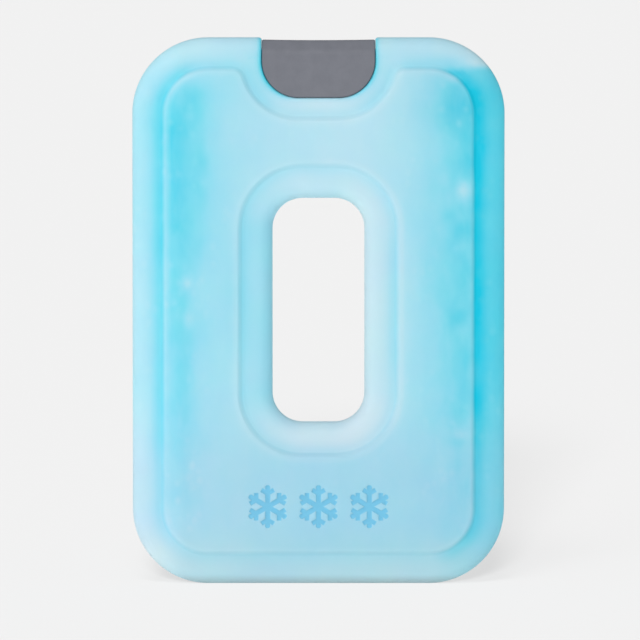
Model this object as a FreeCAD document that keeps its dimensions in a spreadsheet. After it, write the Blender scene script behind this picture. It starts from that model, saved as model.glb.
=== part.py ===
import FreeCAD, Part
import math
import os
import re

import PartDesign
import Sketcher

V = FreeCAD.Vector

# Reusable ice pack: a blow-moulded slab filled with coolant, with a hand slot through it and a capped filling hole.
# Frame: millimetres, +X across the width, +Y through the thickness (the front face looks along -Y), +Z up.
# The origin is at the middle of the bottom edge, which is the edge that the pack stands on.

doc = FreeCAD.newDocument("ice_pack")

# ---------------------------------------------------------------- driving dimensions
SIZES = [
    ("width", 177.4),           # across the slab
    ("height", 260.0),          # bottom edge to top edge
    ("corner", 36.0),           # radius of the four corners, in the plane of the slab
    ("rim_half", 8.2),          # half of the thickness at the rim
    ("panel_rise", 1.8),        # the raised panel stands this far above the rim, on each face
    ("wall", 1.8),              # wall of the blown shell
    ("bevel_run", 6.0),         # the rim's rounding, measured in the plane of the slab
    ("bevel_drop", 3.4),        # and through the thickness
    ("face_blend", 8.0),        # blend between the rounding and the rim's flat
    ("side_blend", 1.8),        # blend between the rounding and the side wall
    ("inner_bevel", 0.78),      # the same rounding inside, as a share of the outer one
    ("rim_band", 13.3),         # outer edge to the foot of the step up to the panel
    ("step_run", 2.6),          # the step's slope, in the plane of the slab
    ("step_shift", 0.31),       # how far the step's foot moves inwards per millimetre of wall
    ("step_blend", 1.6),        # blends at the step's foot and crest
    ("slot_width", 44.0),
    ("slot_height", 106.9),
    ("slot_centre", 130.4),     # height of the hand slot's middle
    ("slot_corner", 14.4),
    ("slot_round", 6.0),        # rounding of the slot's rim
    ("collar_band", 14.1),      # slot edge to the foot of the step up to the panel
    ("cap_half", 26.9),        # half width of the cap
    ("cap_top", 259.05),        # the cap's top at its two ends
    ("cap_sag", 0.3),           # and this much lower in the middle
    ("cap_bottom", 231.6),      # the lowest point of the cap's cheeks
    ("cap_corner", 17.4),       # radius of the cheeks' lower corners
    ("cap_gap", 0.45),          # gap round the cap
    ("cap_outer", 8.05),        # the cheeks' outer faces, from the mid plane
    ("cap_inner", 5.5),         # the cheeks' inner faces, from the mid plane
    ("cap_under", 254.7),       # underside of the cap's bridge
    ("cap_bevel", 5.4),         # the cap's top rounding, measured down the cheek
    ("cap_blend", 6.0),
    ("cap_edge", 0.7),          # rounding of the cheeks' outline
    ("cap_band", 8.6),          # cap edge to the foot of the step up to the panel
    ("notch_blend", 5.0),       # the panel's two corners beside the cap
    ("tongue_half", 5.4),       # half of the thickness of the tongue under the cap
    ("tongue_top", 254.6),
    ("tongue_bevel", 1.4),
    ("recess_lip", 1.2),        # rounding of the recess's edge, over the top and round the cheeks
    ("neck_top", 249.0),        # the cavity's top under the cap: the wall above it holds the filling hole
    ("bore_radius", 2.8),       # filling hole
    ("head_radius", 3.7),       # stopper head
    ("head_depth", 1.0),
    ("plug_length", 5.0),
    ("plug_lead", 0.5),         # lead-in chamfer at the stopper's tip
    ("fill_level", 246.5),      # height of the coolant's surface
    ("fill_gap", 0.1),          # the coolant's skin to the wall
    ("lug_radius", 3.0),        # snap lugs inside the cap
    ("lug_rise", 0.7),
    ("lug_reach", 14.0),        # lugs sit this far each side of the middle
    ("lug_height", 243.0),
    ("dimple_radius", 3.2),     # dimples in the tongue for the lugs
    ("dimple_depth", 0.8),
    ("flake_pitch", 24.2),      # three six-armed flakes pressed into the front panel
    ("flake_height", 37.0),
    ("flake_depth", 0.6),
    ("flake_reach", 10.2),      # centre to the tip of an arm
    ("flake_arm", 1.2),         # half width of an arm
    ("barb_at", 6.3),           # where a barb's middle line leaves the arm's
    ("barb_half", 1.05),
    ("barb_long", 3.4),
]
dims = doc.addObject("Spreadsheet::Sheet", "dims")
for row, (alias, value) in enumerate(SIZES, start=1):
    dims.set(f"A{row}", alias)
    dims.set(f"B{row}", str(value))
    dims.setAlias(f"B{row}", alias)
doc.recompute()
D = dict(SIZES)


def ex(text):
    """An expression over the sheet: every alias in it gets the sheet's name in front."""
    return re.sub(r"\b([a-z]+_[a-z]+|width|height|corner|wall)\b", r"dims.\1", text)


def val(text):
    """The same expression as a number, worked out from the driving dimensions."""
    tokens = re.findall(r"[a-z_]+|[0-9.]+|[-+*/()]", text)
    at = [0]

    def peek():
        return tokens[at[0]] if at[0] < len(tokens) else ""

    def take():
        at[0] += 1
        return tokens[at[0] - 1]

    def atom():
        k = take()
        if k == "(":
            v = total()
            take()
            return v
        if k == "-":
            return -atom()
        return float(D[k]) if k in D else float(k)

    def product():
        v = atom()
        while peek() in ("*", "/"):
            v = v * atom() if take() == "*" else v / atom()
        return v

    def total():
        v = product()
        while peek() in ("+", "-"):
            v = v + product() if take() == "+" else v - product()
        return v

    return total()


# ---------------------------------------------------------------- sketch helpers
def plane(body, role):
    return next(f for f in body.Origin.OriginFeatures if f.Role == role)


class Sketch:
    """A sketch on one of its own body's origin planes, lifted off it by a bound offset."""

    def __init__(self, body, name, role="XZ_Plane", lift=None):
        self.o = body.newObject("Sketcher::SketchObject", name)
        self.o.AttachmentSupport = [(plane(body, role), "")]
        self.o.MapMode = "FlatFace"
        if lift is not None:
            self.o.AttachmentOffset = FreeCAD.Placement(V(0, 0, val(lift)), FreeCAD.Rotation())
            self.o.setExpression("AttachmentOffset.Base.z", ex(lift))
        self.n = 0

    def line(self, a, b):
        return self.o.addGeometry(Part.LineSegment(V(*a, 0), V(*b, 0)), False)

    def arc(self, c, r, a0, a1):
        """A counter-clockwise arc from a0 to a1, in degrees."""
        circle = Part.Circle(V(*c, 0), V(0, 0, 1), r)
        return self.o.addGeometry(Part.ArcOfCircle(circle, math.radians(a0), math.radians(a1)), False)

    def circle(self, c, r):
        return self.o.addGeometry(Part.Circle(V(*c, 0), V(0, 0, 1), r), False)

    def con(self, kind, *args, size=None):
        """A constraint; size is an expression over the sheet, bound by the constraint's own name."""
        if size is None:
            return self.o.addConstraint(Sketcher.Constraint(kind, *args))
        i = self.o.addConstraint(Sketcher.Constraint(kind, *args, val(size)))
        self.n += 1
        name = f"size{self.n}"
        self.o.renameConstraint(i, name)
        self.o.setExpression(f"Constraints.{name}", ex(size))
        return i


def rounded_box(sk, half_w, bottom, top, radius):
    """A rectangle with four equal round corners, centred on the vertical axis. All sizes are expressions."""
    w, b, t, r = val(half_w), val(bottom), val(top), val(radius)
    L0 = sk.line((-w + r, b), (w - r, b))
    A0 = sk.arc((w - r, b + r), r, 270, 360)
    L1 = sk.line((w, b + r), (w, t - r))
    A1 = sk.arc((w - r, t - r), r, 0, 90)
    L2 = sk.line((w - r, t), (-w + r, t))
    A2 = sk.arc((-w + r, t - r), r, 90, 180)
    L3 = sk.line((-w, t - r), (-w, b + r))
    A3 = sk.arc((-w + r, b + r), r, 180, 270)
    chain = [L0, A0, L1, A1, L2, A2, L3, A3]
    for i, j in zip(chain, chain[1:] + chain[:1]):
        sk.con("Tangent", i, 2, j, 1)
    sk.con("Horizontal", L2)
    for i in (L1, L3):
        sk.con("Vertical", i)
    for i in (A1, A2, A3):
        sk.con("Equal", A0, i)
    sk.con("Radius", A0, size=radius)
    sk.con("Symmetric", L0, 1, L0, 2, -2)
    sk.con("DistanceX", -1, 1, L1, 1, size=half_w)
    if abs(b) > 1e-9:
        sk.con("DistanceY", -1, 1, L0, 1, size=bottom)
    else:
        sk.con("PointOnObject", L0, 1, -1)
    sk.con("DistanceY", -1, 1, L2, 1, size=top)


def d_shape(sk, half_w, bottom, top, radius, sag=None):
    """The cap's D: straight sides down into two round corners and a short straight bottom. With sag, the top is a shallow
    hollow arc."""
    w, b, t, r = val(half_w), val(bottom), val(top), val(radius)
    L0 = sk.line((-w + r, b), (w - r, b))
    A0 = sk.arc((w - r, b + r), r, 270, 360)
    L1 = sk.line((w, b + r), (w, t))
    if sag is None:
        L2 = sk.line((w, t), (-w, t))
    else:
        s = val(sag)
        big = (w * w + s * s) / (2 * s)
        half = math.degrees(math.asin(w / big))
        L2 = sk.arc((0, t - s + big), big, 270 - half, 270 + half)
    L3 = sk.line((-w, t), (-w, b + r))
    A3 = sk.arc((-w + r, b + r), r, 180, 270)
    for i, j in ((L0, A0), (A0, L1), (L3, A3), (A3, L0)):
        sk.con("Tangent", i, 2, j, 1)
    if sag is None:
        sk.con("Coincident", L1, 2, L2, 1)
        sk.con("Coincident", L2, 2, L3, 1)
        sk.con("Horizontal", L2)
    else:
        sk.con("Coincident", L1, 2, L2, 2)
        sk.con("Coincident", L2, 1, L3, 1)
        sk.con("Horizontal", L1, 2, L3, 1)
        sk.con("Radius", L2, size=f"({half_w}*({half_w}) + {sag}*{sag})/(2*{sag})")
    sk.con("Vertical", L1)
    sk.con("Vertical", L3)
    sk.con("Equal", A0, A3)
    sk.con("Radius", A0, size=radius)
    sk.con("Symmetric", L0, 1, L0, 2, -2)
    sk.con("DistanceX", -1, 1, L1, 1, size=half_w)
    sk.con("DistanceY", -1, 1, L0, 1, size=bottom)
    sk.con("DistanceY", -1, 1, L1, 2, size=top)


def rectangle(sk, half_w, bottom, top):
    """A plain rectangle centred on the vertical axis."""
    w, b, t = val(half_w), val(bottom), val(top)
    p = [(-w, b), (w, b), (w, t), (-w, t)]
    ids = [sk.line(p[i], p[(i + 1) % 4]) for i in range(4)]
    for i in range(4):
        sk.con("Coincident", ids[i], 2, ids[(i + 1) % 4], 1)
    sk.con("Horizontal", ids[2])
    sk.con("Vertical", ids[1])
    sk.con("Vertical", ids[3])
    sk.con("Symmetric", ids[0], 1, ids[0], 2, -2)
    sk.con("DistanceX", -1, 1, ids[1], 1, size=half_w)
    sk.con("DistanceY", -1, 1, ids[0], 1, size=bottom)
    sk.con("DistanceY", -1, 1, ids[2], 1, size=top)


def panel_outline(sk, p):
    """The raised panel at the foot of its step: an offset of the slab's outline, with a bay for the cap in its top edge.
    p is how far the whole line is shifted into the panel, as an expression."""
    w = f"width/2 - rim_band - {p}"
    b = f"rim_band + {p}"
    t = f"height - rim_band - {p}"
    r = f"corner - rim_band - {p}"
    nb = f"cap_bottom - cap_band - {p}"      # bottom of the bay
    nr = f"cap_corner + cap_band + {p}"      # the bay's two round corners
    nx = "cap_half - cap_corner"             # half of its straight bottom
    vr = f"notch_blend - {p}"                # the panel's own corners beside the bay
    W, B, T, R, NB, NR, NX, VR = (val(q) for q in (w, b, t, r, nb, nr, nx, vr))
    cz = NB + NR                             # centre height of the bay's corners
    vz = T - VR                              # centre height of the panel's corners
    vx = NX + math.sqrt((NR + VR) ** 2 - (cz - vz) ** 2)
    turn = math.degrees(math.atan2(vz - cz, vx - NX))
    L0 = sk.line((-W + R, B), (W - R, B))
    A0 = sk.arc((W - R, B + R), R, 270, 360)
    L1 = sk.line((W, B + R), (W, T - R))
    A1 = sk.arc((W - R, T - R), R, 0, 90)
    L2 = sk.line((W - R, T), (vx, T))
    A2 = sk.arc((vx, vz), VR, 90, 180 + turn)
    A3 = sk.arc((NX, cz), NR, 270, 360 + turn)
    L3 = sk.line((NX, NB), (-NX, NB))
    A4 = sk.arc((-NX, cz), NR, 180 - turn, 270)
    A5 = sk.arc((-vx, vz), VR, -turn, 90)
    L4 = sk.line((-vx, T), (-W + R, T))
    A6 = sk.arc((-W + R, T - R), R, 90, 180)
    L5 = sk.line((-W, T - R), (-W, B + R))
    A7 = sk.arc((-W + R, B + R), R, 180, 270)
    ends = [(L0, 2, A0, 1), (A0, 2, L1, 1), (L1, 2, A1, 1), (A1, 2, L2, 1), (L2, 2, A2, 1), (A2, 2, A3, 2), (A3, 1, L3, 1),
            (L3, 2, A4, 2), (A4, 1, A5, 1), (A5, 2, L4, 1), (L4, 2, A6, 1), (A6, 2, L5, 1), (L5, 2, A7, 1), (A7, 2, L0, 1)]
    for e in ends:
        sk.con("Tangent", *e)
    for i in (L2, L4):
        sk.con("Horizontal", i)
    for i in (L1, L5):
        sk.con("Vertical", i)
    for i in (A1, A6, A7):
        sk.con("Equal", A0, i)
    sk.con("Equal", A2, A5)
    sk.con("Equal", A3, A4)
    sk.con("Radius", A0, size=r)
    sk.con("Radius", A3, size=nr)
    sk.con("Radius", A2, size=vr)
    sk.con("Symmetric", L0, 1, L0, 2, -2)
    sk.con("DistanceX", -1, 1, L1, 1, size=w)
    sk.con("DistanceY", -1, 1, L0, 1, size=b)
    sk.con("DistanceY", -1, 1, L2, 1, size=t)
    sk.con("DistanceY", -1, 1, L4, 1, size=t)
    sk.con("DistanceY", -1, 1, L3, 1, size=nb)
    sk.con("DistanceX", -1, 1, L3, 1, size=nx)
    sk.con("Symmetric", L3, 1, L3, 2, -2)


# ---------------------------------------------------------------- feature helpers
def volume(feature):
    return feature.Shape.Volume


def solved(sk):
    doc.recompute()
    state = sk.o.solve()
    assert state == 0 and sk.o.FullyConstrained, (sk.o.Name, state, sk.o.FullyConstrained)


def pad(body, name, sk, length, taper=None):
    solved(sk)
    f = body.newObject("PartDesign::Pad", name)
    f.Profile = sk.o
    f.Length = val(length)
    f.setExpression("Length", ex(length))
    if taper is not None:
        f.TaperAngle = taper[0]
        f.setExpression("TaperAngle", taper[1])
    doc.recompute()
    return f


def pocket(body, name, sk, length=None, taper=None, reverse=False, through=False):
    """Cuts towards the front (-Y) when reverse is set, else towards the back; the volume is compared, so a pocket that
    misses the solid stops the build."""
    solved(sk)
    before = volume(body.Tip)
    f = body.newObject("PartDesign::Pocket", name)
    f.Profile = sk.o
    if through:
        f.Type = "ThroughAll"
        f.SideType = "Symmetric"
    else:
        f.Length = val(length)
        f.setExpression("Length", ex(length))
    f.Reversed = reverse
    if taper is not None:
        f.TaperAngle = taper[0]
        f.setExpression("TaperAngle", taper[1])
    doc.recompute()
    after = volume(f)
    print(f"  {name}: {before:.0f} -> {after:.0f}")
    assert 0 < after < before - 0.05, name
    return f


def edges(feature, test):
    """The names of the feature's edges whose every sampled point passes the test."""
    out = []
    for i, e in enumerate(feature.Shape.Edges, start=1):
        a, b = e.ParameterRange
        if all(test(e.valueAt(a + (b - a) * k / 6.0)) for k in range(7)):
            out.append(f"Edge{i}")
    return out


def chamfer(body, name, base, names, run, drop, flip=False):
    f = body.newObject("PartDesign::Chamfer", name)
    f.Base = (base, names)
    f.ChamferType = "Two distances"
    f.FlipDirection = flip
    f.Size, f.Size2 = val(run), val(drop)
    f.setExpression("Size", ex(run))
    f.setExpression("Size2", ex(drop))
    doc.recompute()
    return f


def bevel(body, name, base, names, size):
    f = body.newObject("PartDesign::Chamfer", name)
    f.Base = (base, names)
    f.Size = val(size)
    f.setExpression("Size", ex(size))
    doc.recompute()
    return f


def fillet(body, name, base, names, radius):
    assert names, name
    f = body.newObject("PartDesign::Fillet", name)
    f.Base = (base, names)
    f.Radius = val(radius)
    f.setExpression("Radius", ex(radius))
    doc.recompute()
    return f


def mirror_whole(body, name):
    """The whole half solid, mirrored across the slab's mid plane and joined to itself."""
    f = body.newObject("PartDesign::Mirrored", name)
    f.TransformMode = "Whole shape"
    f.MirrorPlane = (plane(body, "XZ_Plane"), [""])
    f.Refine = True
    body.Tip = f
    doc.recompute()
    return f


def near(a, b, tol=0.02):
    return abs(a - b) < tol


# ---------------------------------------------------------------- the slab's form
TAPER = (-math.degrees(math.atan(D["step_run"] / D["panel_rise"])), "-atan(dims.step_run / dims.panel_rise)")
SLOPE = (math.degrees(math.atan(D["step_run"] / D["panel_rise"])), "atan(dims.step_run / dims.panel_rise)")


def half_slab(body, key, inset, inner):
    """The front half of the slab, from its mid plane forwards: the rounded outline with its bevelled rim, the raised panel
    with its sloped steps, the hand slot and the place of the cap. inset is how far the form lies inside the shell's outer
    face, as an expression; inner forms are the hollow and the fill."""
    i = inset
    p = f"step_shift*({i})"
    sk = Sketch(body, key + "_outline")
    rounded_box(sk, f"width/2 - ({i})", i, f"height - ({i})", f"corner - ({i})")
    blank = pad(body, key + "_blank", sk, f"rim_half - ({i})")
    face = -val(f"rim_half - ({i})")
    share = "inner_bevel" if inner else "1"
    run, drop = f"bevel_run*{share}", f"bevel_drop*{share}"
    rim = chamfer(body, key + "_rim_bevel", blank, edges(blank, lambda q: near(q.y, face)), run, drop)
    # the bevel runs further across the face than down the side: swapped here if it came out the other way round
    inner_line = edges(rim, lambda q: near(q.y, face) and q.z < val(i) + val(run) + 0.5 and abs(q.x) < 60)
    low = min(rim.Shape.Edges[int(n[4:]) - 1].BoundBox.ZMin for n in inner_line)
    if abs(low - (val(i) + val(run))) > 0.1:
        rim.FlipDirection = True
        doc.recompute()
    side_y = face + val(drop)
    top_of_step = f"rim_half - ({i})"
    blend = fillet(body, key + "_face_blend", rim, edges(rim, lambda q: near(q.y, face)), f"face_blend - ({i})")
    if not inner:
        blend = fillet(body, key + "_side_blend", blend, edges(blend, lambda q: near(q.y, side_y)), "side_blend")

    sk = Sketch(body, key + "_panel_line", lift=top_of_step)
    panel_outline(sk, p)
    panel = pad(body, key + "_panel", sk, "panel_rise", TAPER)

    # the collar round the hand slot is at the rim's level: a sloped bay in the raised panel
    sk = Sketch(body, key + "_collar_line", lift=f"{top_of_step} + panel_rise")
    grow = f"collar_band + step_run + {p}"
    rounded_box(sk, f"slot_width/2 + {grow}", f"slot_centre - slot_height/2 - ({grow})",
                f"slot_centre + slot_height/2 + {grow}", f"slot_corner + {grow}")
    collar = pocket(body, key + "_collar", sk, "panel_rise", TAPER)

    crest = face - val("panel_rise")
    steps = edges(collar, lambda q: near(q.y, crest))
    last = fillet(body, key + "_step_crest", collar, steps, "step_blend")
    foot = edges(last, lambda q: near(q.y, face) and (not near(abs(q.x), val(f"width/2 - ({i})"), 9.0))
                 and val(i) + 11 < q.z < val(f"height - ({i})") - 11)
    foot = [n for n in foot if abs(last.Shape.Edges[int(n[4:]) - 1].CenterOfMass.x) < val("width/2 - rim_band") + 1]
    last = fillet(body, key + "_step_foot", last, foot, "step_blend")

    # the hand slot
    sk = Sketch(body, key + "_slot_line")
    rounded_box(sk, f"slot_width/2 + ({i})", f"slot_centre - slot_height/2 - ({i})",
                f"slot_centre + slot_height/2 + ({i})", f"slot_corner + ({i})")
    slot = pocket(body, key + "_slot", sk, through=True)
    hw, hh = val(f"slot_width/2 + ({i})") + 0.05, val(f"slot_height/2 + ({i})") + 0.05
    rim_of_slot = edges(slot, lambda q: near(q.y, face) and abs(q.x) < hw and abs(q.z - D["slot_centre"]) < hh)
    last = fillet(body, key + "_slot_round", slot, rim_of_slot, f"slot_round - ({i})")
    return last, face


# ---------------------------------------------------------------- the shell's outer form
outer = doc.addObject("PartDesign::Body", "shell_outer")
last, face = half_slab(outer, "outer", "0", False)

# recess for the cap's cheek: the D down to the tongue's face
sk = Sketch(outer, "recess_line", lift="tongue_half")
d_shape(sk, "cap_half + cap_gap", "cap_bottom - cap_gap", "height + 5", "cap_corner + cap_gap")
recess = pocket(outer, "recess", sk, "6", reverse=True)
# the tongue stops short of the top: the cap's bridge passes over it
sk = Sketch(outer, "tongue_line")
rectangle(sk, "cap_half + cap_gap", "tongue_top", "height + 5")
tongue = pocket(outer, "tongue_cut", sk, through=True)
w = val("cap_half + cap_gap")
lip = edges(tongue, lambda q: near(abs(q.x), w) and near(q.z, D["height"], 0.05))
last = fillet(outer, "recess_lips", tongue, lip, "recess_lip")
top_edge = edges(last, lambda q: near(q.y, -D["tongue_half"]) and near(q.z, D["tongue_top"]))
last = bevel(outer, "tongue_bevel", last, top_edge, "tongue_bevel")
# dimples in the tongue for the cap's lugs
sk = Sketch(outer, "dimple_line", lift="tongue_half - dimple_depth")
for sign in (1, -1):
    c = sk.circle((sign * D["lug_reach"], D["lug_height"]), D["dimple_radius"])
    sk.con("Radius", c, size="dimple_radius")
    if sign > 0:
        sk.con("DistanceX", -1, 1, c, 3, size="lug_reach")
    else:
        sk.con("DistanceX", c, 3, -1, 1, size="lug_reach")
    sk.con("DistanceY", -1, 1, c, 3, size="lug_height")
pocket(outer, "dimples", sk, "dimple_depth + 1", reverse=True)
whole = mirror_whole(outer, "outer_whole")

# the filling hole: a bore down through the tongue's top, with a seat for the stopper's head
sk = Sketch(outer, "bore_line", "XY_Plane", lift="tongue_top + 1")
c = sk.circle((0, 0), D["bore_radius"])
sk.con("Coincident", c, 3, -1, 1)
sk.con("Radius", c, size="bore_radius")
pocket(outer, "bore", sk, "tongue_top + 1 - neck_top + 2")
sk = Sketch(outer, "seat_line", "XY_Plane", lift="tongue_top + 1")
c = sk.circle((0, 0), D["head_radius"] + 0.1)
sk.con("Coincident", c, 3, -1, 1)
sk.con("Radius", c, size="head_radius + 0.1")
pocket(outer, "seat", sk, "head_depth + 1")

# three plain six-armed flakes pressed into the front panel: one arm with its pair of barbs, turned six ways, and the whole
# flake repeated in a row
flakes = doc.addObject("PartDesign::Body", "flakes")
sk = Sketch(flakes, "arm_line", lift="rim_half + panel_rise - flake_depth")
sk.o.AttachmentOffset = FreeCAD.Placement(V(-D["flake_pitch"], D["flake_height"], sk.o.AttachmentOffset.Base.z), FreeCAD.Rotation())
sk.o.setExpression("AttachmentOffset.Base.x", "-dims.flake_pitch")
sk.o.setExpression("AttachmentOffset.Base.y", "dims.flake_height")
half = [("flake_arm", "0"), ("flake_arm", "barb_at + flake_arm*0.5774 - barb_half*1.1547"),
        ("barb_half*0.5 + barb_long*0.8660", "barb_at - barb_half*0.8660 + barb_long*0.5"),
        ("barb_long*0.8660 - barb_half*0.5", "barb_at + barb_half*0.8660 + barb_long*0.5"),
        ("flake_arm", "barb_at + flake_arm*0.5774 + barb_half*1.1547"),
        ("flake_arm", "flake_reach - flake_arm/2"), ("flake_arm/2", "flake_reach")]
points = half + [(f"-({x})", z) for x, z in reversed(half)]
corners = [(val(x), val(z)) for x, z in points]
ids = [sk.line(corners[k], corners[(k + 1) % len(corners)]) for k in range(len(corners))]
for k, (x, z) in enumerate(points):
    sk.con("Coincident", ids[k - 1], 2, ids[k], 1)
    sk.con("DistanceX", -1, 1, ids[k], 1, size=x)
    if z == "0":
        sk.con("PointOnObject", ids[k], 1, -1)
    else:
        sk.con("DistanceY", -1, 1, ids[k], 1, size=z)
arm = pad(flakes, "arm", sk, "flake_depth + 1")
turned = flakes.newObject("PartDesign::PolarPattern", "arms")
turned.Originals = [arm]
turned.Axis = (sk.o, ["N_Axis"])
turned.Angle = 360
turned.Occurrences = 6
flakes.Tip = turned
doc.recompute()
print("  arms:", round(volume(arm), 2), round(volume(turned), 2))
assert volume(turned) > 4.5 * volume(arm)
row_of = flakes.newObject("PartDesign::LinearPattern", "row_of_flakes")
row_of.TransformMode = "Whole shape"
row_of.Direction = (sk.o, ["H_Axis"])
row_of.Length = 2 * D["flake_pitch"]
row_of.setExpression("Length", "2 * dims.flake_pitch")
row_of.Occurrences = 3
flakes.Tip = row_of
doc.recompute()
print("  flakes:", round(volume(row_of), 2), row_of.Shape.BoundBox)
assert abs(volume(row_of) - 3 * volume(turned)) < 0.01 * volume(row_of)

# ---------------------------------------------------------------- the hollow
hollow = doc.addObject("PartDesign::Body", "hollow")
last, hface = half_slab(hollow, "hollow", "wall", True)
sk = Sketch(hollow, "neck_line", lift="tongue_half - wall")
d_shape(sk, "cap_half + cap_gap + wall", "cap_bottom - cap_gap - wall", "height + 5", "cap_corner + cap_gap + wall")
pocket(hollow, "neck", sk, "8", reverse=True)
sk = Sketch(hollow, "neck_top_line")
rectangle(sk, "cap_half + cap_gap + wall", "neck_top", "height + 5")
pocket(hollow, "neck_top_cut", sk, through=True)
mirror_whole(hollow, "hollow_whole")

pressed = doc.addObject("Part::Cut", "shell_pressed")
pressed.Base, pressed.Tool = outer, flakes
shell = doc.addObject("Part::Cut", "shell")
shell.Base, shell.Tool = pressed, hollow
shell.Label = "shell"
doc.recompute()

# ---------------------------------------------------------------- the coolant
coolant = doc.addObject("PartDesign::Body", "coolant")
last, cface = half_slab(coolant, "fill", "(wall + fill_gap)", True)
sk = Sketch(coolant, "fill_neck_line", lift="tongue_half - wall - fill_gap")
d_shape(sk, "cap_half + cap_gap + wall + fill_gap", "cap_bottom - cap_gap - wall - fill_gap", "height + 5",
        "cap_corner + cap_gap + wall + fill_gap")
pocket(coolant, "fill_neck", sk, "8", reverse=True)
sk = Sketch(coolant, "headspace_line")
rectangle(sk, "width", "fill_level", "height + 5")
pocket(coolant, "headspace", sk, through=True)
mirror_whole(coolant, "fill_whole")

# ---------------------------------------------------------------- the stopper
plug = doc.addObject("PartDesign::Body", "filler_plug")
sk = Sketch(plug, "head_line", "XY_Plane", lift="tongue_top - head_depth")
c = sk.circle((0, 0), D["head_radius"])
sk.con("Coincident", c, 3, -1, 1)
sk.con("Radius", c, size="head_radius")
pad(plug, "head", sk, "head_depth")
sk = Sketch(plug, "stem_line", "XY_Plane", lift="tongue_top - head_depth - plug_length + 0.6")
c = sk.circle((0, 0), D["bore_radius"])
sk.con("Coincident", c, 3, -1, 1)
sk.con("Radius", c, size="bore_radius")
stem = pad(plug, "stem", sk, "plug_length")
tip = val("tongue_top - head_depth - plug_length + 0.6")
bevel(plug, "stem_lead", stem, edges(stem, lambda q: near(q.z, tip)), "plug_lead")

# ---------------------------------------------------------------- the cap
cap = doc.addObject("PartDesign::Body", "cap")
sk = Sketch(cap, "cap_line")
d_shape(sk, "cap_half", "cap_bottom", "cap_top", "cap_corner", sag="cap_sag")
cheek = pad(cap, "cheek", sk, "cap_outer")
ctop = edges(cheek, lambda q: near(q.y, -D["cap_outer"]) and q.z > D["cap_top"] - 0.5)
top = chamfer(cap, "cap_top_bevel", cheek, ctop, "cap_bevel", "bevel_drop")
low = min(v.Z for v in top.Shape.Vertexes if near(v.Y, -D["cap_outer"]) and near(abs(v.X), D["cap_half"]))
line = [v for v in top.Shape.Vertexes if near(v.Y, -D["cap_outer"]) and v.Z > D["cap_bottom"] + 18.5]
if abs(max(v.Z for v in line) - (D["cap_top"] - D["cap_bevel"])) > 0.6:
    top.FlipDirection = True
    doc.recompute()
ridge = edges(top, lambda q: near(q.y, -D["cap_outer"]) and D["cap_top"] - 7 < q.z < D["cap_top"] - 4)
last = fillet(cap, "cap_face_blend", top, ridge, "cap_blend")
ridge = edges(last, lambda q: near(q.y, -D["cap_outer"] + D["bevel_drop"]) and q.z > D["cap_top"] - 1.0)
last = fillet(cap, "cap_top_blend", last, ridge, "side_blend")
ring = edges(last, lambda q: near(q.y, -D["cap_outer"]) and q.z < D["cap_top"] - 5.0
             and (near(abs(q.x), D["cap_half"]) or q.z < D["cap_bottom"] + 17.5))
last = fillet(cap, "cap_edge", last, ring, "cap_edge")
# the inside: room for the tongue, with the bridge over it, and two lugs on each cheek
sk = Sketch(cap, "cap_room_line")
rectangle(sk, "cap_half + 2", "cap_bottom - 2", "cap_under")
room = pocket(cap, "cap_room", sk, "cap_inner", reverse=True)
inside = edges(room, lambda q: near(q.y, -D["cap_inner"]) and near(q.z, D["cap_under"]))
last = bevel(cap, "cap_room_bevel", room, inside, "tongue_bevel")
sk = Sketch(cap, "lug_line", lift="cap_inner - lug_rise")
for sign in (1, -1):
    c = sk.circle((sign * D["lug_reach"], D["lug_height"]), D["lug_radius"])
    sk.con("Radius", c, size="lug_radius")
    if sign > 0:
        sk.con("DistanceX", -1, 1, c, 3, size="lug_reach")
    else:
        sk.con("DistanceX", c, 3, -1, 1, size="lug_reach")
    sk.con("DistanceY", -1, 1, c, 3, size="lug_height")
pad(cap, "lugs", sk, "lug_rise + 0.5")
lug = cap.Tip
rims = edges(lug, lambda q: near(q.y, -D["cap_inner"] + D["lug_rise"]))
bevel(cap, "lug_lead", lug, rims, "0.3")
mirror_whole(cap, "cap_whole")
doc.recompute()

# ---------------------------------------------------------------- checks and export
bad = [(o.Name, o.State) for o in doc.Objects if "Invalid" in o.State or "Error" in o.State]
assert not bad, bad
PARTS = {"shell": shell, "coolant": coolant, "filler_plug": plug, "cap": cap}
os.makedirs("parts", exist_ok=True)
for name, o in PARTS.items():
    o.Label = name
    o.Placement = FreeCAD.Placement(V(0, 0, 0), FreeCAD.Rotation())
doc.recompute()
for name, o in PARTS.items():
    s = o.Shape
    assert not s.isNull() and s.isValid(), name
    assert len(s.Solids) == 1, (name, len(s.Solids))
    b = s.BoundBox
    print(f"{name}: volume {s.Volume / 1000:.2f} cm3, box {b.XMin:.2f} {b.YMin:.2f} {b.ZMin:.2f} .. {b.XMax:.2f} {b.YMax:.2f} {b.ZMax:.2f}")
    s.exportStep(f"parts/{name}.step")
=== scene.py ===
import math

import bpy
import numpy as np
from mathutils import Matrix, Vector
from mathutils.geometry import delaunay_2d_cdt


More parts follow.
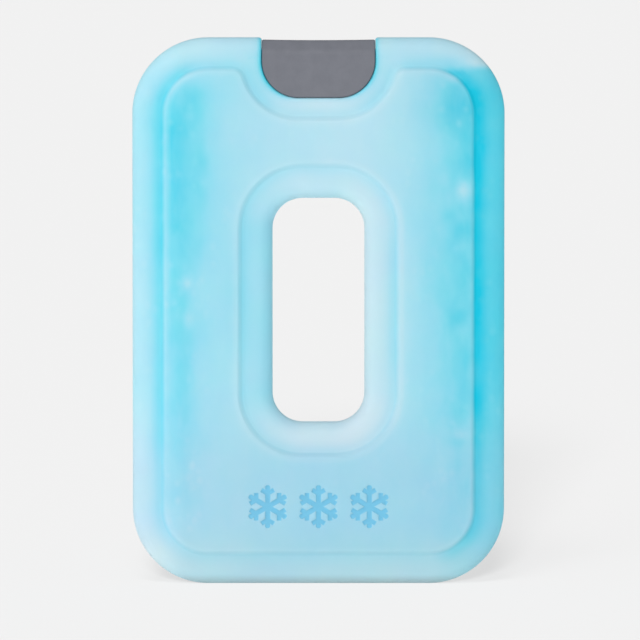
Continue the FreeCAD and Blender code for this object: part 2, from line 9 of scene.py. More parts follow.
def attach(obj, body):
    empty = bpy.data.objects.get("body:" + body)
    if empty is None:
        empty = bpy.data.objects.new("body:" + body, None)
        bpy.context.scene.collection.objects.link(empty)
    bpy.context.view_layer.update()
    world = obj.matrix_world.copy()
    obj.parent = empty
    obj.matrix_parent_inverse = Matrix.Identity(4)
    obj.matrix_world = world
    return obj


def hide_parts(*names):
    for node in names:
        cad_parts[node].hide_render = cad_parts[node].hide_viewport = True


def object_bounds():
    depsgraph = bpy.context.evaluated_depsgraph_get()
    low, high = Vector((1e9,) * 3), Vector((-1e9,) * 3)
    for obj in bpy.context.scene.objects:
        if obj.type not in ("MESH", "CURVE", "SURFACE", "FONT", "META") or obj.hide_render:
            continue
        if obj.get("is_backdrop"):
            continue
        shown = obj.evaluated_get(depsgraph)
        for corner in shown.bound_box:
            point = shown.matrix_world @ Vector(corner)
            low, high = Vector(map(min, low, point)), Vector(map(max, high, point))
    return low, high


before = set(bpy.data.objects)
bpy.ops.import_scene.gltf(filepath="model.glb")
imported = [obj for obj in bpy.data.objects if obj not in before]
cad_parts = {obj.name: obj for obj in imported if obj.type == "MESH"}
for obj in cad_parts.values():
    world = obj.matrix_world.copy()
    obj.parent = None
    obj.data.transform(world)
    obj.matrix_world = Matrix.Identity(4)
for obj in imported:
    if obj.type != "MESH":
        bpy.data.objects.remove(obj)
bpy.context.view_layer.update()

# A reusable ice pack: one blow-moulded translucent shell with raised panels and a hand slot, and a grey cap clipped over the
# middle of its top edge. The shell's skin is built here in millimetres and written in metres.

# ------------------------------------------------------------------ sizes, as in the construction (mm)
W, H, R = 176.9, 260.0, 36.0
RIM, RISE = 8.2, 1.8                     # half thickness at the rim, and the panel's height above it
ROUND_A, ROUND_B = 6.5, 4.4              # the rim's rounding: in the plane, and through the thickness
SLOT_W, SLOT_H, SLOT_Z, SLOT_R = 44.0, 106.9, 130.4, 14.4
SLOT_A, SLOT_B = 6.6, 6.0                # the slot's rounding
D_HALF, D_LOW, D_R = 27.1, 231.4, 17.6   # the recess for the cap
LIP = 1.25                               # rounding of the recess's edge
NOTCH_TOP = 254.6                        # the tongue's top, under the cap
TONGUE = 5.4
BAND_OUT, BAND_SLOT, BAND_CAP = 13.3, 14.1, 8.4   # widths of the bands at rim level
STEP = 2.6                               # the step's slope, in the plane
FILLET = 7.5                             # the panel's corners beside the cap, at the step's foot
NX = D_HALF - D_R                        # half of the recess's straight bottom
D_CZ = D_LOW + D_R                       # height of its round corners' centres

rng = np.random.default_rng(7)


# ------------------------------------------------------------------ distances in the plane of the slab
def sd_round_box(x, z, hw, hh, cz, r):
    """Positive inside a rounded rectangle centred at (0, cz)."""
    qx = np.abs(x) - (hw - r)
    qz = np.abs(z - cz) - (hh - r)
    out = np.hypot(np.maximum(qx, 0), np.maximum(qz, 0)) + np.minimum(np.maximum(qx, qz), 0) - r
    return -out


def d_out(x, z):
    return sd_round_box(x, z, W / 2, H / 2, H / 2, R)


def d_slot(x, z):
    return -sd_round_box(x, z, SLOT_W / 2, SLOT_H / 2, SLOT_Z, SLOT_R)


def d_cap(x, z):
    """Distance outside the recess's D, whose sides run on upwards without end."""
    qx = np.abs(x) - NX
    qz = D_CZ - z
    inner = np.hypot(np.maximum(qx, 0), np.maximum(qz, 0)) + np.minimum(np.maximum(qx, qz), 0) - D_R
    return inner


NR = D_R + BAND_CAP                      # radius of the bay's corners at the step's foot
FZ = H - BAND_OUT - FILLET               # centre of the panel's corner beside the cap
FX = NX + math.sqrt((NR + FILLET) ** 2 - (D_CZ - FZ) ** 2)
TURN = math.atan2(FZ - D_CZ, FX - NX)    # direction from the bay's centre to the corner's centre


def d_panel(x, z):
    """Distance inside the raised panel's foot line (the collar's bay apart)."""
    a = d_out(x, z) - BAND_OUT
    b = d_cap(x, z) - BAND_CAP
    d = np.minimum(a, b)
    px, pz = np.abs(x) - FX, z - FZ
    # the sector of the corner's circle: from straight up round to the bay's centre
    up = px < 0.0
    along = px * math.sin(TURN) - pz * math.cos(TURN)   # negative above the line of centres
    sector = up & (along < 0.0) & (pz < FILLET + 3)
    return np.where(sector, FILLET - np.hypot(px, pz), d)


def smooth(t):
    t = np.clip(t, 0.0, 1.0)
    return t * t * (3 - 2 * t)


def step_profile(t):
    """The step's section: short blends at its foot and crest, and a straight slope between them."""
    t = np.clip(t, 0.0, 1.0)
    return 0.45 * t + 0.55 * smooth(t)


def step_t(x, z):
    t1 = d_panel(x, z) / STEP
    t2 = (d_slot(x, z) - BAND_SLOT) / STEP
    return np.clip(np.minimum(t1, t2), 0.0, 1.0)


LIP_R = 1.4                              # the two top corners beside the cap, in the plane


def edge_distances(x, z):
    """Distances inside the outline and outside the recess, both drawn to nothing along the round corner between them."""
    a, b = d_out(x, z), d_cap(x, z)
    near = (a < LIP_R) & (b < LIP_R) & (z > H - 8)
    m = np.minimum(a, b)
    d = np.where(near, LIP_R - np.hypot(LIP_R - a, LIP_R - b), m)
    cut = np.where(near, np.maximum(m - d, 0.0), 0.0)
    return a - cut, b - cut, d


def drop(d, a, b):
    """How far a quarter-ellipse rounding falls below the face at a distance d from the edge."""
    k = np.clip(1.0 - d / a, 0.0, 1.0)
    return b * (1.0 - np.sqrt(np.maximum(1.0 - k * k, 0.0)))


def waves(x, z, seed):
    """The blown wall isn't quite flat: a few slow waves, in mm."""
    g = np.random.default_rng(seed)
    out = np.zeros_like(x)
    for k in range(14):
        wl = g.uniform(26, 90)
        th = g.uniform(0, 2 * math.pi)
        ph = g.uniform(0, 2 * math.pi)
        out += (wl / 90.0) * np.sin(2 * math.pi * (x * math.cos(th) + z * math.sin(th)) / wl + ph)
    return out / 4.0


def height(x, z, seed):
    """Half thickness of the slab at a point, in mm."""
    a, b, d = edge_distances(x, z)
    inside = b >= -1e-6
    h = RIM - drop(np.maximum(a, 0), ROUND_A, ROUND_B)
    h = h - drop(np.maximum(d_slot(x, z), 0), SLOT_A, SLOT_B)
    h = h - drop(np.maximum(b, 0), LIP, LIP) * smooth(np.maximum(a, 0) / 1.3)
    t = step_t(x, z)
    h = h + RISE * step_profile(t)
    # a slight crown on the panel and the slow waves, both fading out towards the step
    reach = smooth(np.minimum(d_panel(x, z) - STEP, d_slot(x, z) - BAND_SLOT - STEP) / 14.0)
    h = h + reach * (0.22 + 0.16 * waves(x, z, seed))
    band = smooth((np.minimum(np.minimum(a - ROUND_A, d_slot(x, z) - SLOT_A), b - LIP) - 0.5) / 4.0) * (1 - smooth(t * 3))
    h = h + band * 0.05 * waves(x * 1.3 + 40, z, seed + 5)
    return np.where(inside, h, TONGUE)


# ------------------------------------------------------------------ contour lines
def resample(points, spacing, closed):
    """Points at an even spacing along a polyline that is given very finely."""
    p = np.asarray(points, float)
    if closed:
        p = np.vstack([p, p[:1]])
    seg = np.hypot(*(p[1:] - p[:-1]).T)
    s = np.concatenate([[0], np.cumsum(seg)])
    n = max(int(round(s[-1] / spacing)), 2)
    u = np.linspace(0, s[-1], n + 1)
    q = np.column_stack([np.interp(u, s, p[:, 0]), np.interp(u, s, p[:, 1])])
    return q[:-1] if closed else q


def arc_pts(cx, cz, r, a0, a1, spacing):
    n = max(int(math.ceil(abs(math.radians(a1 - a0)) * max(r, 0.3) / spacing)), 3)
    t = np.radians(np.linspace(a0, a1, n + 1))
    return np.column_stack([cx + r * np.cos(t), cz + r * np.sin(t)])


def line_pts(a, b, spacing):
    n = max(int(round(math.hypot(b[0] - a[0], b[1] - a[1]) / spacing)), 1)
    t = np.linspace(0, 1, n + 1)[:, None]
    return np.asarray(a)[None] * (1 - t) + np.asarray(b)[None] * t


def join(*parts):
    out = []
    for p in parts:
        for q in p:
            if not out or math.hypot(out[-1][0] - q[0], out[-1][1] - q[1]) > 1e-5:
                out.append((float(q[0]), float(q[1])))
    if math.hypot(out[0][0] - out[-1][0], out[0][1] - out[-1][1]) < 1e-5:
        out.pop()
    return np.array(out)


def round_box_line(hw, hh, cz, r, line, arc):
    return join(
        line_pts((-hw + r, cz - hh), (hw - r, cz - hh), line), arc_pts(hw - r, cz - hh + r, r, 270, 360, arc),
        line_pts((hw, cz - hh + r), (hw, cz + hh - r), line), arc_pts(hw - r, cz + hh - r, r, 0, 90, arc),
        line_pts((hw - r, cz + hh), (-hw + r, cz + hh), line), arc_pts(-hw + r, cz + hh - r, r, 90, 180, arc),
        line_pts((-hw, cz + hh - r), (-hw, cz - hh + r), line), arc_pts(-hw + r, cz - hh + r, r, 180, 270, arc))


def outer_line(d, line=2.4, arc=1.25):
    """The outline, d inside itself, without its middle part over the recess."""
    hw, hh, r = W / 2 - d, H / 2 - d, R - d
    x_end = D_HALF + 0.02
    return np.array([tuple(q) for q in np.vstack([
        line_pts((-x_end, H - d), (-hw + r, H - d), line)[:-1], arc_pts(-hw + r, H - d - r, r, 90, 180, arc)[:-1],
        line_pts((-hw, H - d - r), (-hw, d + r), line)[:-1], arc_pts(-hw + r, d + r, r, 180, 270, arc)[:-1],
        line_pts((-hw + r, d), (hw - r, d), line)[:-1], arc_pts(hw - r, d + r, r, 270, 360, arc)[:-1],
        line_pts((hw, d + r), (hw, H - d - r), line)[:-1], arc_pts(hw - r, H - d - r, r, 0, 90, arc)[:-1],
        line_pts((hw - r, H - d), (x_end, H - d), line)])])


def d_line(b, top, line=1.3, arc=0.9):
    """The recess's D, b outside itself, open at the top."""
    r = D_R + b
    hw = NX + r
    return np.vstack([
        line_pts((-hw, top), (-hw, D_CZ), line)[:-1], arc_pts(-NX, D_CZ, r, 180, 270, arc)[:-1],
        line_pts((-NX, D_CZ - r), (NX, D_CZ - r), line)[:-1], arc_pts(NX, D_CZ, r, 270, 360, arc)[:-1],
        line_pts((hw, D_CZ), (hw, top), line)])


def panel_line(p, line=2.2, arc=1.1):
    """The step's line, p inside its foot: the outline's offset with the cap's bay in its top edge."""
    o = BAND_OUT + p
    hw, r = W / 2 - o, R - o
    t, b = H - o, o
    nr, vr = NR + p, FILLET - p
    k = math.degrees(TURN)
    low = D_CZ - nr
    return join(
        line_pts((-hw + r, b), (hw - r, b), line), arc_pts(hw - r, b + r, r, 270, 360, arc),
        line_pts((hw, b + r), (hw, t - r), line), arc_pts(hw - r, t - r, r, 0, 90, arc),
        line_pts((hw - r, t), (FX, t), line), arc_pts(FX, FZ, vr, 90, 180 + k, arc * 0.6),
        arc_pts(NX, D_CZ, nr, 360 + k, 270, arc), line_pts((NX, low), (-NX, low), line),
        arc_pts(-NX, D_CZ, nr, 270, 180 - k, arc), arc_pts(-FX, FZ, vr, -k, 90, arc * 0.6),
        line_pts((-FX, t), (-hw + r, t), line), arc_pts(-hw + r, t - r, r, 90, 180, arc),
        line_pts((-hw, t - r), (-hw, b + r), line), arc_pts(-hw + r, b + r, r, 180, 270, arc))


def boundary_line(line=2.4, arc=1.25):
    """The skin's edge in the plane: the outline with the notch over the tongue, its two lips rounded."""
    hw, hh, r = W / 2, H / 2, R
    c = D_HALF + LIP_R
    return join(
        line_pts((-hw + r, 0), (hw - r, 0), line), arc_pts(hw - r, r, r, 270, 360, arc),
        line_pts((hw, r), (hw, H - r), line), arc_pts(hw - r, H - r, r, 0, 90, arc),
        line_pts((hw - r, H), (c, H), line), arc_pts(c, H - LIP_R, LIP_R, 90, 180, 0.2),
        line_pts((D_HALF, H - LIP_R), (D_HALF, NOTCH_TOP), 0.8), line_pts((D_HALF, NOTCH_TOP), (-D_HALF, NOTCH_TOP), 1.5),
        line_pts((-D_HALF, NOTCH_TOP), (-D_HALF, H - LIP_R), 0.8), arc_pts(-c, H - LIP_R, LIP_R, 0, 90, 0.2),
        line_pts((-c, H), (-hw + r, H), line), arc_pts(-hw + r, H - r, r, 90, 180, arc),
        line_pts((-hw, H - r), (-hw, r), line), arc_pts(-hw + r, r, r, 180, 270, arc))


# ------------------------------------------------------------------ the three pressed flakes
FLAKE_Z, FLAKE_PITCH, FLAKE_REACH, FLAKE_ARM, FLAKE_DEPTH = 37.0, 24.2, 10.2, 1.2, 0.6
BARB_AT, BARB_HALF, BARB_LONG = 6.3, 1.05, 3.4


def flake_outline(cx, cz, grow=0.0):
    """A plain six-armed flake with a pair of barbs on each arm, its outline moved outwards by grow."""
    a, r, c, b, l = FLAKE_ARM, FLAKE_REACH, BARB_AT, BARB_HALF, BARB_LONG
    right = [(a, c + a * 0.5774 - b * 1.1547), (b * 0.5 + l * 0.866, c - b * 0.866 + l * 0.5),
             (l * 0.866 - b * 0.5, c + b * 0.866 + l * 0.5), (a, c + a * 0.5774 + b * 1.1547), (a, r - a / 2), (a / 2, r)]
    arm = [(a, 2 * a * math.cos(math.radians(30)))] + right
    arm = arm + [(-x, z) for x, z in reversed(arm[1:])]
    pts = []
    for k in range(6):
        t = -math.radians(60 * k)
        for x, z in reversed(arm):
            pts.append((x * math.cos(t) - z * math.sin(t), x * math.sin(t) + z * math.cos(t)))
    p = np.array(pts)
    area = 0.5 * np.sum(p[:, 0] * np.roll(p[:, 1], -1) - np.roll(p[:, 0], -1) * p[:, 1])
    if area < 0:
        p = p[::-1]
    if grow:
        e = np.roll(p, -1, axis=0) - p
        e /= np.hypot(e[:, 0], e[:, 1])[:, None]
        n = np.column_stack([e[:, 1], -e[:, 0]])          # outward normals of a counter-clockwise outline
        n0 = np.roll(n, 1, axis=0)
        m = n + n0
        m /= np.maximum(np.sum(m * n, axis=1), 0.35)[:, None]
        p = p + grow * m
    return p + np.array([[cx, cz]])


def subdivide(p, spacing):
    out = []
    for i in range(len(p)):
        q = line_pts(p[i], p[(i + 1) % len(p)], spacing)
        out += [tuple(v) for v in q[:-1]]
    return np.array(out)


def inside_polygon(px, pz, poly):
    res = np.zeros(px.shape, bool)
    j = len(poly) - 1
    for i in range(len(poly)):
        xi, zi = poly[i]
        xj, zj = poly[j]
        hit = ((zi > pz) != (zj > pz)) & (px < (xj - xi) * (pz - zi) / (zj - zi + 1e-30) + xi)
        res ^= hit
        j = i
    return res


FLAKE_X = [-FLAKE_PITCH, 0.0, FLAKE_PITCH]
FLAKE_LEVELS = [(0.26, 0.0), (0.06, 0.10), (-0.12, 0.48), (-0.34, 0.60)]   # offset from the outline, depth there


# ------------------------------------------------------------------ the sheet: points, lines and triangles in the plane
def build_sheet():
    pts, edges = [], []

    def add(line, closed):
        base = len(pts)
        pts.extend([tuple(q) for q in line])
        n = len(line)
        edges.extend([(base + i, base + i + 1) for i in range(n - 1)])
        if closed:
            edges.append((base + n - 1, base))

    add(boundary_line(), True)
    for k in range(1, 13):
        add(outer_line(ROUND_A * (1 - math.cos(math.radians(7.5 * k)))), False)
    for d in (8.3, 10.3, 12.0):
        add(outer_line(d), False)
    slot_d = [0.0] + [SLOT_A * (1 - math.cos(math.radians(7.5 * k))) for k in range(1, 13)] + [8.4, 10.4, 12.3]
    for d in slot_d:
        add(round_box_line(SLOT_W / 2 + d, SLOT_H / 2 + d, SLOT_Z, SLOT_R + d, 2.2, 1.0), True)
    for b in [LIP * (1 - math.cos(math.radians(15 * k))) for k in range(1, 7)] + [2.4, 4.0, 5.8, 7.2]:
        add(d_line(b, H + 1.0 if b < 4.5 else H - 9.0 if b < 6.5 else H - 11.5), False)
    add(d_line(0.0, NOTCH_TOP), False)
    add(d_line(-0.05, NOTCH_TOP), False)
    add(d_line(-1.0, NOTCH_TOP), False)
    for k in range(0, 11):
        add(panel_line(STEP * k / 10), True)
        q = BAND_SLOT + STEP * k / 10
        add(round_box_line(SLOT_W / 2 + q, SLOT_H / 2 + q, SLOT_Z, SLOT_R + q, 2.2, 1.1), True)
    for extra in (1.2, 2.7):
        add(panel_line(STEP + extra, 2.0, 1.4), True)
        q = BAND_SLOT + STEP + extra
        add(round_box_line(SLOT_W / 2 + q, SLOT_H / 2 + q, SLOT_Z, SLOT_R + q, 2.0, 1.4), True)
    for cx in FLAKE_X:
        for grow, _ in FLAKE_LEVELS:
            add(subdivide(flake_outline(cx, FLAKE_Z, grow), 1.1), True)
    # fill: an even pattern over the panel and the recess's floor, clear of every line
    s = 1.72
    rows = np.arange(14, H - 12, s * math.sqrt(3) / 2)
    fill = []
    for i, z in enumerate(rows):
        x = np.arange(-W / 2, W / 2, s) + (s / 2 if i % 2 else 0.0)
        fill.append(np.column_stack([x, np.full_like(x, z)]))
    f = np.vstack(fill)
    f = f + rng.uniform(-0.16, 0.16, f.shape)
    keep = (d_panel(f[:, 0], f[:, 1]) > STEP + 3.6) & (d_slot(f[:, 0], f[:, 1]) > BAND_SLOT + STEP + 3.6)
    for cx in FLAKE_X:
        near = np.hypot(f[:, 0] - cx, f[:, 1] - FLAKE_Z) < FLAKE_REACH + 1
        if near.any():
            idx = np.where(near & keep)[0]
            lines = np.vstack([subdivide(flake_outline(cx, FLAKE_Z, g), 0.4) for g, _ in FLAKE_LEVELS])
            gap = np.min(np.hypot(f[idx, 0][:, None] - lines[None, :, 0], f[idx, 1][:, None] - lines[None, :, 1]), axis=1)
            keep[idx[gap < 0.45]] = False
    pts.extend([tuple(q) for q in f[keep]])
    s = 2.2
    gx, gz = np.meshgrid(np.arange(-D_HALF + 2, D_HALF - 1, s), np.arange(D_LOW + 2, NOTCH_TOP - 0.8, s))
    g = np.column_stack([gx.ravel(), gz.ravel()])
    g = g[d_cap(g[:, 0], g[:, 1]) < -1.8]
    pts.extend([tuple(q) for q in g])

    v, e, f, ov, oe, of = delaunay_2d_cdt([Vector(p) for p in pts], edges, [], 0, 1e-4, False)
    P = np.array([(q[0], q[1]) for q in v])
    T = np.array([t for t in f if len(t) == 3])
    C = P[T].mean(axis=1)
    ed = edge_distances(C[:, 0], C[:, 1])[2]
    ok = (d_out(C[:, 0], C[:, 1]) > 1e-4) & (d_slot(C[:, 0], C[:, 1]) > 1e-4)
    ok &= ~((np.abs(C[:, 0]) < D_HALF) & (C[:, 1] > NOTCH_TOP))
    ok &= ~((C[:, 1] > H - 3) & (np.abs(C[:, 0]) < D_HALF + 3) & (ed < 2e-4))
    T = T[ok]
    # triangles with no area are dropped
    a = P[T]
    area = 0.5 * ((a[:, 1, 0] - a[:, 0, 0]) * (a[:, 2, 1] - a[:, 0, 1]) - (a[:, 2, 0] - a[:, 0, 0]) * (a[:, 1, 1] - a[:, 0, 1]))
    T = np.where(area[:, None] < 0, T[:, ::-1], T)
    T = T[np.abs(area) > 1e-9]
    used = np.unique(T)
    remap = -np.ones(len(P), int)
    remap[used] = np.arange(len(used))
    return P[used], remap[T]


def boundary_loops(T):
    """The sheet's open edges, as closed loops that keep the sheet on their left."""
    count = {}
    for t in T:
        for i in range(3):
            e = (int(t[i]), int(t[(i + 1) % 3]))
            count[e] = count.get(e, 0) + 1
    nxt = {}
    for (a, b) in count:
        if (b, a) not in count:
            nxt.setdefault(a, []).append(b)
    loops = []
    while nxt:
        start = next(iter(nxt))
        loop = [start]
        cur = nxt[start].pop()
        if not nxt[start]:
            del nxt[start]
        while cur != start:
            loop.append(cur)
            options = nxt[cur]
            n = options.pop()
            if not options:
                del nxt[cur]
            cur = n
        loops.append(loop)
    return loops


P, T = build_sheet()
px, pz = P[:, 0], P[:, 1]
depth = np.zeros(len(P))
for cx in FLAKE_X:
    for i, (grow, dep) in enumerate(FLAKE_LEVELS):
        poly = flake_outline(cx, FLAKE_Z, grow - 0.004)
        near = np.hypot(px - cx, pz - FLAKE_Z) < FLAKE_REACH + 2
        idx = np.where(near)[0]
        # points on a level's own line take that level's depth; points further in are set by the next levels
        line_in = inside_polygon(px[idx], pz[idx], flake_outline(cx, FLAKE_Z, grow + 0.01))
        depth[idx[line_in]] = dep
h_front = height(px, pz, 11) - depth
h_back = height(px, pz, 23)

loops = boundary_loops(T)
print("sheet", len(P), "points", len(T), "triangles; loops", [len(l) for l in loops])

n = len(P)
verts = np.zeros((2 * n, 3))
verts[:n] = np.column_stack([px, -h_front, pz])
verts[n:] = np.column_stack([px, h_back, pz])
# seen from the front (looking along +Y, +X to the right, +Z up) a counter-clockwise triangle faces the viewer
faces = [tuple(t) for t in T] + [tuple(n + t[::-1]) for t in T]
extra = []
wall_tag = []
total = 2 * n
rings = []
for loop in loops:
    L = np.array(loop)
    q = P[L]
    e_next = np.roll(q, -1, axis=0) - q
    e_prev = q - np.roll(q, 1, axis=0)
    e_next /= np.maximum(np.hypot(e_next[:, 0], e_next[:, 1]), 1e-9)[:, None]
    e_prev /= np.maximum(np.hypot(e_prev[:, 0], e_prev[:, 1]), 1e-9)[:, None]
    t = e_next + e_prev
    t /= np.maximum(np.hypot(t[:, 0], t[:, 1]), 1e-9)[:, None]
    out_n = np.column_stack([t[:, 1], -t[:, 0]])           # away from the sheet
    hf, hb = h_front[L], h_back[L]
    in_notch = (np.abs(q[:, 0]) < D_HALF + 0.01) & (q[:, 1] > NOTCH_TOP - 0.01) & (q[:, 1] < H - 0.01)
    foot = 1.0 - smooth((q[:, 1] - 0.4) / 14.0)
    amp = np.where(in_notch, 0.0, 1.0) * (1 - foot)
    levels = [(-0.72, 0.0), (-0.42, 0.0), (-0.10, 0.0), (-0.055, 0.07), (0.0, 0.14), (0.055, 0.07), (0.10, 0.0), (0.42, 0.0), (0.72, 0.0)]
    ring = [L]
    for f, bump in levels:
        y = np.where(f < 0, f * hf, f * hb)
        if abs(f) < 0.2:
            y = f * np.full_like(hf, 4.0) * 1.0
        off = bump * amp
        v = np.column_stack([q[:, 0] + out_n[:, 0] * off, y, q[:, 1] + out_n[:, 1] * off])
        extra.append(v)
        ring.append(np.arange(total, total + len(L)))
        total += len(L)
    ring.append(n + L)
    m = len(L)
    for a, b in zip(ring[:-1], ring[1:]):
        for i in range(m):
            j = (i + 1) % m
            # the loop keeps the sheet on its left, seen from the front, so this winding faces outwards
            faces.append((int(a[j]), int(a[i]), int(b[i]), int(b[j])))
verts = np.vstack([verts] + extra)
print("skin", len(verts), "vertices", len(faces), "faces")


# ------------------------------------------------------------------ how milky the wall looks, from 0 (clear blue) to about 0.6, with painted light and shade in it
def bell(t, c, w):
    return np.exp(-(((t - c) / w) ** 2))


def slope(f, x, z, e=0.05):
    return (f(x + e, z) - f(x - e, z)) / (2 * e), (f(x, z + e) - f(x, z - e)) / (2 * e)


# frost behind the wall: middle x, z, half widths, and strength; and the clearer places between it
FROST_FRONT = [(69.0, 187.5, 3.2, 4.4, 0.24), (69.0, 177.0, 2.6, 5.5, 0.05), (63.0, 183.0, 5.0, 9.0, 0.06), (-62.5, 143.5, 2.6, 2.8, 0.14),
               (-62.0, 126.5, 2.4, 5.0, 0.14), (-61.5, 223.0, 2.4, 2.6, 0.05), (-58.0, 201.0, 2.2, 2.6, 0.05), (67.6, 71.5, 3.6, 2.2, 0.08),
               (66.0, 45.0, 3.2, 6.5, 0.04), (75.6, 148.0, 1.6, 2.4, 0.03), (69.0, 134.0, 3.0, 4.0, 0.03),
               (69.5, 122.0, 4.0, 5.0, 0.08), (70.0, 160.0, 3.5, 5.0, 0.06), (56.0, 116.0, 7.0, 16.0, 0.05), (-66.5, 232.0, 5.0, 6.0, 0.08),
               (-70.5, 97.0, 3.0, 12.0, 0.06), (-67.0, 163.0, 3.0, 6.0, 0.05), (-67.0, 128.0, 2.6, 4.0, 0.05), (60.0, 193.0, 3.0, 4.0, 0.05),
               (65.0, 241.0, 6.0, 2.6, 0.09), (-66.0, 26.0, 7.0, 8.0, 0.06), (-70.0, 238.0, 3.0, 4.0, 0.04), (-70.0, 35.0, 4.0, 9.0, 0.025),
               (-34.5, 100.0, 4.0, 24.0, 0.035), (69.4, 221.0, 3.0, 4.0, 0.05), (69.4, 181.0, 3.0, 3.5, 0.05),
               (75.0, 101.0, 3.0, 8.0, 0.05), (58.0, 89.0, 5.0, 5.0, 0.035), (37.0, 84.0, 4.0, 18.0, 0.035), (36.0, 170.0, 4.0, 10.0, 0.03),
               (66.0, 18.0, 7.0, 4.0, 0.035), (-78.0, 13.0, 7.0, 8.0, 0.04),
               (35.0, 174.0, 3.0, 9.0, 0.03), (35.0, 95.0, 3.0, 12.0, 0.035), (-50.0, 18.0, 16.0, 4.0, 0.035), (56.0, 18.0, 9.0, 4.0, 0.03),
               (-50.0, 8.0, 16.0, 5.0, 0.03), (72.5, 237.0, 2.6, 3.0, 0.05), (72.5, 114.0, 2.2, 4.0, 0.05), (72.5, 140.0, 2.2, 5.0, 0.04)]
DEEP_FRONT = [(75.1, 211.0, 1.6, 9.0, 0.05), (75.1, 136.0, 1.6, 9.0, 0.05), (66.0, 226.0, 10.0, 11.0, 0.10), (68.0, 82.0, 4.0, 5.0, 0.08), (66.0, 68.0, 5.0, 3.0, 0.05), (68.0, 45.0, 4.0, 9.0, 0.06),
              (-70.5, 207.0, 2.6, 9.0, 0.09), (-69.0, 216.0, 5.0, 4.0, 0.05), (-56.0, 201.0, 4.0, 4.5, 0.07), (-55.0, 190.0, 5.0, 22.0, 0.03),
              (-40.0, 140.0, 6.0, 26.0, 0.045), (68.0, 179.0, 3.4, 3.0, 0.05), (62.0, 176.0, 3.0, 3.0, 0.06), (-58.0, 231.0, 8.0, 13.0, 0.045),
              (-49.0, 235.0, 9.0, 12.0, 0.02), (-70.0, 191.0, 4.0, 7.0, 0.06), (-62.0, 160.0, 13.0, 9.0, 0.055), (-78.0, 158.0, 6.0, 30.0, 0.03),
              (-56.0, 121.0, 8.0, 9.0, 0.045), (-47.0, 165.0, 8.0, 30.0, 0.022), (-76.5, 68.0, 4.5, 16.0, 0.06), (51.0, 228.0, 9.0, 12.0, 0.045),
              (66.0, 248.5, 6.0, 3.0, 0.06), (75.0, 208.0, 2.5, 9.0, 0.06), (72.0, 199.0, 4.0, 5.0, 0.045), (68.0, 169.5, 4.0, 4.0, 0.06),
              (69.4, 158.0, 3.0, 3.5, 0.05), (65.0, 125.0, 5.0, 11.0, 0.05), (75.0, 69.0, 2.5, 5.0, 0.04), (66.0, 57.0, 6.0, 5.0, 0.04),
              (46.5, 50.0, 7.0, 7.0, 0.02), (-81.0, 222.0, 4.0, 14.0, 0.03),
              (-43.6, 118.0, 4.0, 22.0, 0.03), (60.0, 249.5, 9.0, 2.6, 0.05), (78.5, 210.0, 2.4, 5.0, 0.03), (-58.0, 100.0, 6.0, 5.0, -0.03), (69.5, 87.0, 3.0, 6.0, 0.03), (69.8, 244.6, 4.0, 2.5, 0.035)]


